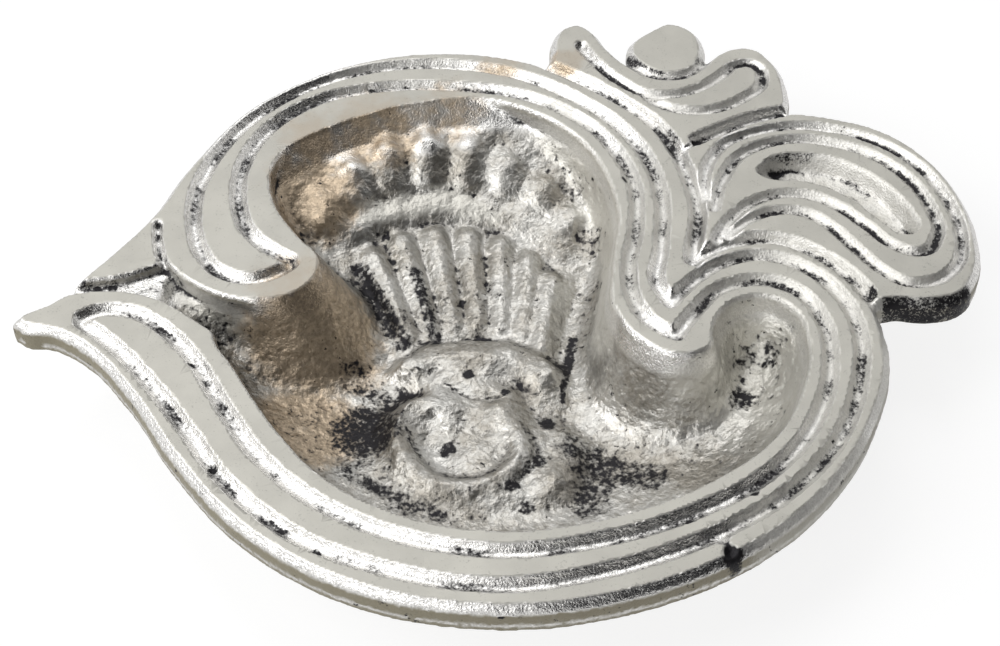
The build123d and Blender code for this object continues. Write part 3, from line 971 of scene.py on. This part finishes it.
@dataclass
class LampCasting:
    """The whole lamp, cast in one and cut at one level into its two pieces."""

    skin: CastSkin
    finish: CastFinish
    flaws: tuple[Flaw, ...] = ()
    soot: tuple[Stain, ...] = ()
    tarnish: tuple[Stain, ...] = ()
    wear_and_highlight: tuple[Stain, ...] = ()
    swellings: tuple[Swelling, ...] = ()
    creases: tuple[Crease, ...] = ()
    soot_squeeze: float = 0.4
    cut_mm: float = 11.4
    sign_slot: str = "border_metal"
    bowl_slot: str = "bowl_metal"
    triangles: int = 330_000

    def build(self) -> list[bpy.types.Object]:
        """Casts the lamp and cuts it.

        Returns:
            The finished pieces.
        """
        metal = CastMetal(self.finish).build()
        body = self.whole_body(metal)
        for work in (self.widen_grooves, self.raise_swellings, self.press_creases, self.press_flaws):
            work(body.data)
        self.keep_patches(body.data, "soot", self.soot, self.soot_squeeze)
        self.keep_patches(body.data, "tarnish", self.tarnish)
        # Worn patches: a rubbed finish on the border, painted highlight inside the bowl.
        self.keep_patches(body.data, "wear_and_highlight", self.wear_and_highlight)
        whole = SkinTree("cast_skin").cast(body, self.skin, metal)
        bpy.data.objects.remove(body)
        whole = boxed(thinned(whole, self.triangles))
        SplitNormals.keep(whole)
        sign = self.half(whole, above=True)
        bowl = self.half(whole, above=False)
        bpy.data.meshes.remove(whole)
        return [
            self.placed("sign_cast", sign, (Part.BORDER, Part.TAIL, Part.CRESCENT, Part.DOT), self.sign_slot),
            self.placed("bowl_cast", bowl, (Part.BOWL, Part.CROWN, Part.HEAD), self.bowl_slot),
        ]

    def evened(self, name: str, mesh: bpy.types.Mesh) -> bpy.types.Object:
        """Makes one closed body of even small faces.

        Args:
            name: the body's name.
            mesh: the closed shells that it goes round.

        Returns:
            The body.
        """
        body = new_object(name, mesh)
        remesh = body.modifiers.new("even", "REMESH")
        remesh.mode = "VOXEL"
        remesh.voxel_size = self.skin.voxel * MM * 1.0
        body.data = largest_shell(evaluated_mesh(body))
        return body

    def whole_body(self, material: bpy.types.Material) -> bpy.types.Object:
        """Joins all members, the pan's walls flared into its floor first.

        Args:
            material: the metal.

        Returns:
            One smooth body.
        """
        pan = self.evened("pan_body", joined(node_mesh(Part.BORDER), node_mesh(Part.BOWL)))
        flared = FlareTree("flared_pan").run(pan, {"Flare": self.skin.flare, "Material": material})
        bpy.data.objects.remove(pan)
        others = [node_mesh(part) for part in Part if part not in (Part.BORDER, Part.BOWL)]
        return self.evened("whole_body", joined(flared, *others))

    def widen_grooves(self, mesh: bpy.types.Mesh) -> None:
        """Wears the edges of the ridges back and fattens the lines of the head, a step of the mesh at a time.

        Args:
            mesh: the body, which is changed.
        """
        places = points_of(mesh)
        one, two = read(mesh.edges, "vertices", 2, np.int32).T
        level = places[:, 2]
        ridges = level > RIDGE_FOOT_MM * MM
        reach = np.hypot(places[:, 0] - HEAD_CENTRE_MM[0] * MM, places[:, 1] - HEAD_CENTRE_MM[1] * MM)
        head = (reach < HEAD_REACH_MM * MM) & (level > HEAD_MM[0] * MM) & (level < HEAD_MM[1] * MM)
        head &= upward_of(mesh) > -0.2
        for steps, chosen, pick in (
            (self.skin.groove_steps, ridges, np.minimum),
            (self.skin.relief_steps, head, np.maximum),
        ):
            for _ in range(steps):
                moved = level.copy()
                pick.at(moved, one, level[two])
                pick.at(moved, two, level[one])
                level = np.where(chosen, moved, level)
        places[:, 2] = level
        mesh.vertices.foreach_set("co", places.ravel())

    @staticmethod
    def on_floor(mesh: bpy.types.Mesh) -> np.ndarray:
        """Which points lie on the floor of the bowl or on what is raised from it."""
        level = points_of(mesh)[:, 2]
        return (level > FLOOR_MM[0] * MM) & (level < FLOOR_MM[1] * MM) & (upward_of(mesh) > 0.0)

    def raise_swellings(self, mesh: bpy.types.Mesh) -> None:
        """Raises the rounded forms of the head from the floor of the bowl.

        Args:
            mesh: the body, which is changed.
        """
        places, floor = points_of(mesh), self.on_floor(mesh)
        for rise in self.swellings:
            across = (places[:, 0] / MM - rise.x) / rise.reach_x
            along = (places[:, 1] / MM - rise.y) / rise.reach_y
            reach = across**2 + along**2
            lift = np.where(floor & (reach < 1.0), (1.0 - reach) ** 1.5, 0.0)
            places[:, 2] += lift * rise.height * MM
        mesh.vertices.foreach_set("co", places.ravel())

    def press_creases(self, mesh: bpy.types.Mesh) -> None:
        """Presses the lines between the forms of the head into the floor of the bowl.

        Args:
            mesh: the body, which is changed.
        """
        places, floor = points_of(mesh), self.on_floor(mesh)
        plan = places[:, :2] / MM
        for crease in self.creases:
            away = np.full(len(plan), np.inf)
            for start, end in zip(crease.way, crease.way[1:]):
                first, along = np.array(start), np.array(end) - np.array(start)
                share = np.clip((plan - first) @ along / (along @ along), 0.0, 1.0)
                away = np.minimum(away, np.linalg.norm(plan - first - share[:, None] * along, axis=1))
            sunk = np.where(floor & (away < crease.reach), 1.0 - (away / crease.reach) ** 2, 0.0)
            places[:, 2] -= sunk * crease.depth * MM
        mesh.vertices.foreach_set("co", places.ravel())

    def press_flaws(self, mesh: bpy.types.Mesh) -> None:
        """Presses the pits into the ridge tops.

        Args:
            mesh: the body, which is changed.
        """
        places = points_of(mesh)
        high = places[:, 2] > RIDGE_FOOT_MM * MM
        for flaw in self.flaws:
            reach = np.hypot(places[:, 0] - flaw.x * MM, places[:, 1] - flaw.y * MM) / (flaw.radius * MM)
            sunk = np.where(high & (reach < 1.0), (1.0 - reach**2) ** 2, 0.0)
            places[:, 2] -= sunk * flaw.depth * MM
        mesh.vertices.foreach_set("co", places.ravel())

    @staticmethod
    def keep_patches(mesh: bpy.types.Mesh, name: str, stains: tuple[Stain, ...], squeeze: float = 1.0) -> None:
        """Keeps on every point how strongly a list of stains shows there, but for the points that face down.

        Args:
            mesh: the casting.
            name: the attribute that is written.
            stains: the stains of that kind.
            squeeze: scale of their distances in height.
        """
        scale = np.array((1.0, 1.0, squeeze), np.float32)
        places = points_of(mesh) / MM * scale
        share = np.zeros(len(places), np.float32)
        for stain in stains:
            centre = np.array(stain.centre, np.float32) * scale
            reach = np.linalg.norm(places - centre, axis=1) / stain.radius
            fade = np.clip((1.3 - reach) / 0.9, 0.0, 1.0)
            share = np.maximum(share, stain.strength * fade * fade * (3.0 - 2.0 * fade))
        share *= np.clip((upward_of(mesh) + 0.8) / 0.4, 0.0, 1.0)
        mesh.attributes.new(name, "FLOAT", "POINT").data.foreach_set("value", share.astype(np.float32))

    def half(self, mesh: bpy.types.Mesh, above: bool) -> bpy.types.Mesh:
        """Cuts one closed half off the casting.

        Args:
            mesh: the whole casting.
            above: which half is kept.

        Returns:
            The half, capped where it was cut.
        """
        half = bmesh.new()
        half.from_mesh(mesh)
        cut = bmesh.ops.bisect_plane(
            half,
            geom=[*half.verts, *half.edges, *half.faces],
            plane_co=(0, 0, self.cut_mm * MM),
            plane_no=(0, 0, 1),
            clear_inner=above,
            clear_outer=not above,
        )
        rim = [part for part in cut["geom_cut"] if isinstance(part, bmesh.types.BMEdge)]
        outward = -1.0 if above else 1.0
        filled = bmesh.ops.triangle_fill(half, edges=rim, use_beauty=True, normal=(0, 0, outward))
        cap = [part for part in filled["geom"] if isinstance(part, bmesh.types.BMFace)]
        skin = half.faces.layers.int[SplitNormals.SKIN]
        for face in cap:
            face.normal_update()
            if face.normal.z * outward < 0:
                face.normal_flip()
            face[skin] = 0
        log.info("cut at %.1f mm: %d rim edges, %d cap faces", self.cut_mm, len(rim), len(cap))
        made = mesh_of(half, "half")
        made.materials.append(mesh.materials[0])
        return made

    @staticmethod
    def placed(name: str, mesh: bpy.types.Mesh, parts: tuple[Part, ...], slot: str) -> bpy.types.Object:
        """Puts a finished mesh in the place of its nodes.

        Args:
            name: the piece's name.
            mesh: the finished mesh.
            parts: members that it stands for.
            slot: name of a material slot; not used.

        Returns:
            The finished piece.
        """
        SplitNormals.apply(mesh)
        mesh.name = name
        piece = new_object(name, mesh)
        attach(piece, "root")
        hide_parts(*(part.value for part in parts))
        mesh.calc_loop_triangles()
        log.info("%s: %d triangles", name, len(mesh.loop_triangles))
        return piece


@dataclass
class Studio:
    """Floor, light and camera."""

    boxes: tuple[SoftBox, ...]
    focal_px: float = 2030.0
    elevation_deg: float = 45.7
    distance_mm: float = 274.3
    sensor_mm: float = 36.0
    floor_side: float = 8.0
    world_light: float = 0.30
    flag_place: Place = (0.62, -0.42, 0.50)
    flag_side: float = 1.6
    aim: Place = (0.0, 0.0, 0.01)

    def build(self) -> None:
        """Sets the scene round the lamp."""
        self.camera()
        self.floor()
        self.world()
        for box in self.boxes:
            self.light(box)
        self.flag()
        bpy.context.scene.view_settings.view_transform = "Standard"

    def camera(self) -> None:
        """Puts the camera at the photograph's place."""
        data = bpy.data.cameras.new("camera")
        data.sensor_fit = "HORIZONTAL"
        data.sensor_width = self.sensor_mm
        data.lens = self.focal_px / PHOTO_WIDTH_PX * self.sensor_mm
        data.clip_start, data.clip_end = 0.01, 50.0
        camera = bpy.data.objects.new("camera", data)
        rise = math.radians(self.elevation_deg)
        camera.location = (
            0.0,
            -self.distance_mm * MM * math.cos(rise),
            (GROUND_LEVEL_MM + self.distance_mm * math.sin(rise)) * MM,
        )
        camera.rotation_euler = (math.pi / 2 - rise, 0.0, 0.0)
        bpy.context.scene.collection.objects.link(camera)
        bpy.context.scene.camera = camera

    def floor(self) -> None:
        """Lays a plain pale floor that looks white and keeps a soft shadow."""
        floor = square("floor", self.floor_side, Matrix.Identity(4))
        material = bpy.data.materials.new("pale_floor")
        desk = NodeDesk.cleared(material)
        paper = desk.add("ShaderNodeBsdfDiffuse", {"Color": (0.86, 0.86, 0.86, 1.0)}).outputs[0]
        shade = desk.add("ShaderNodeBsdfDiffuse", {"Color": (0.22, 0.22, 0.22, 1.0)}).outputs[0]
        glow = desk.add("ShaderNodeEmission", {"Color": (1.0, 1.0, 1.0, 1.0), "Strength": 0.86}).outputs[0]
        white = desk.add("ShaderNodeAddShader", {0: shade, 1: glow}).outputs[0]
        surface = desk.add("ShaderNodeMixShader", {0: self.seen(desk), 1: paper, 2: white}).outputs[0]
        desk.add("ShaderNodeOutputMaterial", {"Surface": surface})
        floor.data.materials.append(material)

    @staticmethod
    def seen(desk: NodeDesk) -> Socket:
        """Picks out the rays that show the background: straight from the camera, mirrored or passed through.

        Args:
            desk: tree being built.

        Returns:
            1 for those rays, 0 for all others.
        """
        path = desk.add("ShaderNodeLightPath").outputs
        seen = desk.math("MAXIMUM", path["Is Camera Ray"], path["Is Glossy Ray"])
        return desk.math("MAXIMUM", seen, path["Is Transmission Ray"])

    def world(self) -> None:
        """Makes an even white surround."""
        world = bpy.data.worlds.new("surround")
        desk = NodeDesk.cleared(world)
        light = desk.add("ShaderNodeBackground", {"Strength": self.world_light}).outputs[0]
        white = desk.add("ShaderNodeBackground", {"Color": (1.0, 1.0, 1.0, 1.0), "Strength": 1.0}).outputs[0]
        surface = desk.add("ShaderNodeMixShader", {0: self.seen(desk), 1: light, 2: white}).outputs[0]
        desk.add("ShaderNodeOutputWorld", {"Surface": surface})
        bpy.context.scene.world = world

    def flag(self) -> None:
        """Stands a dark card beside the lamp, out of the camera's sight, for the metal's dark reflections."""
        facing = (Vector(self.aim) - Vector(self.flag_place)).to_track_quat("Z", "Y").to_matrix().to_4x4()
        facing.translation = self.flag_place
        card = square("flag", self.flag_side, facing)
        card.visible_camera = False
        material = bpy.data.materials.new("dark_card")
        desk = NodeDesk.cleared(material)
        cloth = desk.add("ShaderNodeBsdfDiffuse", {"Color": (0.03, 0.03, 0.035, 1.0)}).outputs[0]
        desk.add("ShaderNodeOutputMaterial", {"Surface": cloth})
        card.data.materials.append(material)

    def light(self, box: SoftBox) -> None:
        """Hangs a soft box and turns it to the lamp's middle.

        Args:
            box: the soft box.
        """
        data = bpy.data.lights.new(box.name, "AREA")
        data.shape = "SQUARE"
        data.size = box.side
        data.energy = box.watts
        light = bpy.data.objects.new(box.name, data)
        light.location = box.place
        light.rotation_euler = (Vector(self.aim) - Vector(box.place)).to_track_quat("-Z", "Y").to_euler()
        bpy.context.scene.collection.objects.link(light)


def streak(start: Place, end: Place, radius: float, strength: float) -> tuple[Stain, ...]:
    """Sets a row of stains that runs together to a line.

    Args:
        start: where it begins.
        end: where it ends.
        radius: radius of each stain.
        strength: strength of each stain.

    Returns:
        The stains.
    """
    first, last = Vector(start), Vector(end)
    count = int((last - first).length / radius) + 2
    return tuple(Stain(tuple(first.lerp(last, step / (count - 1))), radius, strength) for step in range(count))


def lined(way: Way, level: float, radius: float, strength: float) -> tuple[Stain, ...]:
    """Stains along a way in the plan at one level."""
    runs = (streak((*start, level), (*end, level), radius, strength) for start, end in zip(way, way[1:]))
    return tuple(stain for run in runs for stain in run)


SOFT_BOXES = (
    SoftBox("left_box", (-0.62, -0.10, 0.55), 0.55, 3.6),
    SoftBox("top_box", (-0.10, 0.35, 0.75), 0.45, 1.6),
    SoftBox("front_fill", (-0.35, -0.65, 0.55), 0.35, 1.3),
)
FINISH = CastFinish("cast_metal")
TARNISH = (
    Stain((-26.0, 6.0, 9.0), 12.0, 0.85),
    Stain((-21.0, 3.0, 5.0), 6.0, 0.6),
    Stain((-28.0, 31.0, 11.0), 9.0, 0.75),
    Stain((-19.0, 43.0, 13.0), 9.0, 0.65),
    Stain((-28.5, 39.5, 14.0), 5.5, 0.75),
    Stain((-8.0, 47.0, 14.0), 7.0, 0.5),
    Stain((-26.0, -8.0, 5.0), 9.0, 0.8),
    Stain((0.0, 56.0, 16.0), 4.5, 0.55),
    Stain((10.5, 57.0, 15.5), 3.5, 0.75),
)
SOOT = (
    # Floor of the bowl below and beside the head.
    Stain((-18.5, -8.5, 4.0), 6.5, 0.9),
    Stain((-17.0, -2.5, 4.0), 3.5, 0.65),
    Stain((-12.5, -21.5, 4.0), 3.0, 0.7),
    Stain((-19.5, -14.0, 4.0), 3.5, 0.6),
    Stain((-27.0, -10.0, 6.0), 6.5, 0.4),
    Stain((13.0, -16.0, 4.0), 5.0, 0.75),
    Stain((12.0, -21.0, 4.5), 4.0, 0.7),
    # Lower flutes, then the slit right of the head and the floor round it.
    *streak((-20.5, 20.5, 6.5), (-14.0, 8.0, 4.4), 2.0, 0.8),
    *streak((-12.2, 20.0, 6.0), (-9.0, 8.0, 4.4), 1.5, 0.78),
    Stain((-13.0, 12.0, 5.0), 2.6, 0.6),
    *streak((10.4, 9.3, 3.3), (9.4, 3.0, 3.3), 1.1, 0.95),
    *streak((9.4, 3.0, 3.3), (8.6, -3.0, 3.5), 0.7, 0.95),
    *streak((10.0, -12.0, 4.0), (20.0, -17.0, 5.0), 3.6, 0.72),
    *streak((-21.0, -16.0, 5.0), (-8.0, -23.5, 4.5), 1.8, 0.72),
    Stain((-20.0, 1.0, 5.0), 4.0, 0.6),
    # Lobe at the right, then spots on the head.
    Stain((33.0, -5.5, 9.0), 2.8, 0.8),
    Stain((37.2, 0.2, 9.0), 1.6, 0.7),
    Stain((-4.3, 0.5, 5.2), 1.1, 1.1),
    Stain((6.5, -7.4, 4.0), 1.5, 0.95),
    Stain((0.8, -2.4, 5.0), 0.9, 1.0),
    Stain((1.4, -19.0, 4.6), 1.5, 0.9),
    Stain((5.2, -14.5, 4.0), 1.5, 0.95),
    Stain((-7.0, -12.0, 4.4), 1.7, 0.9),
    Stain((3.5, -22.0, 4.0), 1.6, 0.8),
    # Channel at the left, foot of the crescent, side of the tail.
    *streak((-57.6, 8.3, 14.5), (-46.5, 12.7, 14.5), 1.2, 0.7),
    *streak((-46.5, 12.7, 14.8), (-38.8, 0.6, 14.5), 0.8, 0.5),
    *streak((-55.0, 7.8, 14.8), (-46.0, 9.0, 14.6), 2.0, 0.5),
    *streak((18.7, 58.6, 15.3), (24.7, 54.7, 15.3), 1.3, 0.75),
    *streak((24.7, 54.7, 15.3), (31.8, 57.6, 15.3), 1.3, 0.65),
    *streak((52.0, 6.2, 13.6), (57.0, 3.4, 13.6), 2.4, 0.85),
    *streak((57.0, 3.4, 13.6), (64.0, 6.0, 13.6), 2.4, 0.85),
    # Thin scatter over crown, floor and head, then the notch and the tail's upper end.
    Stain((-5.0, 14.0, 6.0), 9.0, 0.4),
    Stain((-24.0, -8.0, 5.0), 8.0, 0.46),
    Stain((-4.0, -8.0, 5.0), 10.0, 0.26),
    Stain((-6.0, 32.0, 9.0), 12.0, 0.26),
    Stain((28.2, -38.8, 15.6), 1.9, 1.2),
    Stain((27.0, 40.0, 15.2), 3.0, 0.7),
)
GROOVE_SOOT = (
    *lined(((33.2, 21.4), (36.5, 24.6), (40.5, 26.2), (44.8, 25.8), (48.6, 23.4), (52.0, 19.5)), 15.4, 0.9, 0.5),
    *lined(((52.0, 19.5), (55.6, 15.3), (59.2, 14.1), (61.8, 17.5), (61.6, 23.5), (59.2, 29.8)), 15.4, 0.9, 0.5),
    *lined(((56.0, 37.6), (61.0, 32.6), (64.3, 25.0), (65.2, 17.5)), 15.4, 0.9, 0.46),
    *lined(((12.0, 43.0), (17.0, 36.0), (19.5, 28.0), (19.3, 19.0), (17.9, 11.0), (18.3, 5.0)), 15.3, 0.9, 0.42),
    *lined(((18.5, 40.5), (22.0, 33.0), (23.3, 25.0), (22.6, 15.0)), 15.3, 0.9, 0.36),
    *lined(((26.2, 2.0), (30.0, 6.6), (36.0, 8.5), (41.0, 6.3), (43.8, 0.5), (43.8, -8.0)), 15.3, 0.9, 0.36),
    *lined(((-35.5, 18.3), (-37.6, 25.0), (-37.7, 32.0), (-34.8, 40.0), (-28.0, 47.0)), 15.3, 0.8, 0.42),
    *lined(((36.5, 31.5), (39.1, 34.6), (45.6, 35.2)), 15.6, 1.1, 0.62),
    *lined(((14.4, 57.2), (18.0, 52.2), (22.0, 49.0), (25.0, 45.9), (29.0, 44.8)), 15.4, 0.9, 0.42),
)
WEAR_AND_HIGHLIGHTS = (
    # On the border: a duller, paler rubbed finish.
    Stain((45.0, 0.0, 16.0), 22.0, 0.8),
    Stain((44.0, -27.0, 15.5), 10.0, 0.8),
    Stain((36.0, -35.0, 15.5), 8.0, 0.6),
    # Inside the bowl: painted highlights on the walls below the peninsula, on the crown's band, in the lobe and on
    # the left wall.
    *streak((9.0, 45.5, 13.0), (16.5, 30.0, 12.0), 4.5, 0.9),
    *streak((16.5, 30.0, 12.0), (14.8, 6.0, 12.0), 6.5, 1.0),
    *streak((17.0, 2.0, 11.0), (25.5, -6.0, 12.0), 3.5, 0.75),
    *streak((-20.0, 29.9, 8.8), (-7.5, 33.8, 8.8), 2.4, 0.8),
    *streak((-7.5, 33.8, 8.8), (9.5, 22.4, 8.8), 2.6, 0.9),
    Stain((36.0, 1.0, 10.0), 8.0, 0.9),
    *streak((-44.0, 9.5, 14.0), (-36.0, 5.0, 12.0), 3.0, 0.8),
    # On the border again: rubbed finish.
    Stain((20.0, 25.0, 16.0), 14.0, 0.55),
    Stain((48.0, 25.0, 16.0), 22.0, 0.6),
    Stain((30.0, 50.0, 16.0), 14.0, 0.5),
    Stain((-15.0, 52.0, 16.0), 14.0, 0.4),
)
HEAD_FORMS = (
    Swelling(-3.4, 3.6, 11.5, 4.6, 1.3),
    Swelling(-12.5, 1.6, 3.5, 3.2, 0.9),
    Swelling(6.5, 0.6, 3.5, 3.6, 0.9),
    Swelling(-2.0, 0.9, 2.2, 1.1, 0.7),
    Swelling(-9.0, -5.0, 5.0, 2.6, 0.7),
    Swelling(7.0, -17.5, 3.6, 4.0, 0.8),
    Swelling(7.2, -3.0, 3.2, 3.0, 1.3),
)
HEAD_LINES = (
    Crease(((-13.3, 5.2), (-11.3, 6.8), (-8.5, 7.9), (-4.2, 8.7), (0.0, 8.3), (2.1, 7.5), (3.9, 6.2)), 0.9, 0.6),
    Crease(((-13.2, -0.1), (-11.9, 1.8), (-10.1, 1.3), (-8.4, 2.2)), 1.0, 0.6),
    Crease(((-7.6, -0.8), (-5.5, -2.5), (-3.4, -3.4), (-1.7, -3.6), (0.0, -3.2)), 0.8, 0.5),
    Crease(
        ((-12.8, -9.1), (-12.2, -11.5), (-10.6, -13.8), (-9.1, -15.7), (-7.1, -17.1))
        + ((-4.7, -17.6), (-2.4, -17.3), (-0.3, -15.9), (0.9, -13.8), (1.2, -12.4)),
        1.0,
        0.7,
    ),
    Crease(
        ((2.7, -7.7), (4.3, -10.4), (4.9, -13.1), (4.0, -15.7), (2.0, -17.8), (-0.4, -19.0), (-4.0, -20.0)),
        1.1,
        0.7,
    ),
    Crease(((-5.2, -7.1), (-5.6, -9.3), (-6.0, -11.6)), 1.1, 0.8),
    Crease(((5.5, -6.4), (6.9, -6.8)), 1.3, 0.8),
)
TRUNK_RING = Crease(
    ((-13.1, -4.7), (-14.2, -7.9), (-13.8, -11.8), (-12.0, -15.9), (-9.3, -18.7), (-5.0, -19.3))
    + ((-0.3, -18.0), (2.8, -14.8), (3.2, -11.5), (2.2, -8.4), (0.0, -5.8)),
    1.8,
    -0.9,
)
RIM_NOTCH = (Flaw(27.4, -37.0, 0.9, 0.9), Flaw(28.1, -38.6, 1.0, 1.3), Flaw(28.8, -40.4, 1.0, 1.3))
RIDGE_PITS = (
    Flaw(32.0, -29.7, 0.7, 0.8),
    Flaw(23.5, -33.7, 0.6, 0.6),
    Flaw(0.5, -36.2, 0.6, 0.7),
    Flaw(-36.5, -25.0, 0.7, 0.7),
    Flaw(-22.5, -38.3, 0.7, 0.7),
    Flaw(-41.0, -7.0, 0.6, 0.6),
    Flaw(18.0, 29.5, 0.6, 0.6),
    Flaw(8.5, 29.5, 0.5, 0.5),
)
TAIL_DISH = (
    Flaw(38.2, 31.8, 2.4, -1.2),
    Flaw(43.0, 32.6, 3.0, 0.7),
    Flaw(47.0, 31.0, 3.2, 0.8),
    Flaw(51.0, 27.8, 3.2, 0.8),
    Flaw(54.6, 23.8, 3.2, 0.8),
    Flaw(57.2, 20.2, 2.8, 0.7),
)
HEAD_LINE_LEVEL_MM = 4.6
LINE_SOOT = tuple(
    stain for line in HEAD_LINES for stain in lined(line.way, HEAD_LINE_LEVEL_MM, line.reach * 0.75, 0.62)
)
PIT_SOOT = tuple(Stain((pit.x, pit.y, GROUND_LEVEL_MM - pit.depth), pit.radius * 1.2, 1.1) for pit in RIDGE_PITS)


def main() -> None:
    """Builds the lamp, sets the studio round it and reports each piece."""
    logging.basicConfig(level=logging.INFO, format="%(name)s: %(message)s")
    casting = LampCasting(
        skin=CastSkin(),
        finish=FINISH,
        flaws=RIM_NOTCH + RIDGE_PITS + TAIL_DISH,
        soot=SOOT + GROOVE_SOOT + PIT_SOOT + LINE_SOOT,
        tarnish=TARNISH,
        wear_and_highlight=WEAR_AND_HIGHLIGHTS,
        swellings=HEAD_FORMS,
        creases=(TRUNK_RING, *HEAD_LINES),
    )
    for piece in casting.build():
        log.info("%s is in place", piece.name)
    Studio(SOFT_BOXES).build()


if __name__ == "__main__":
    main()
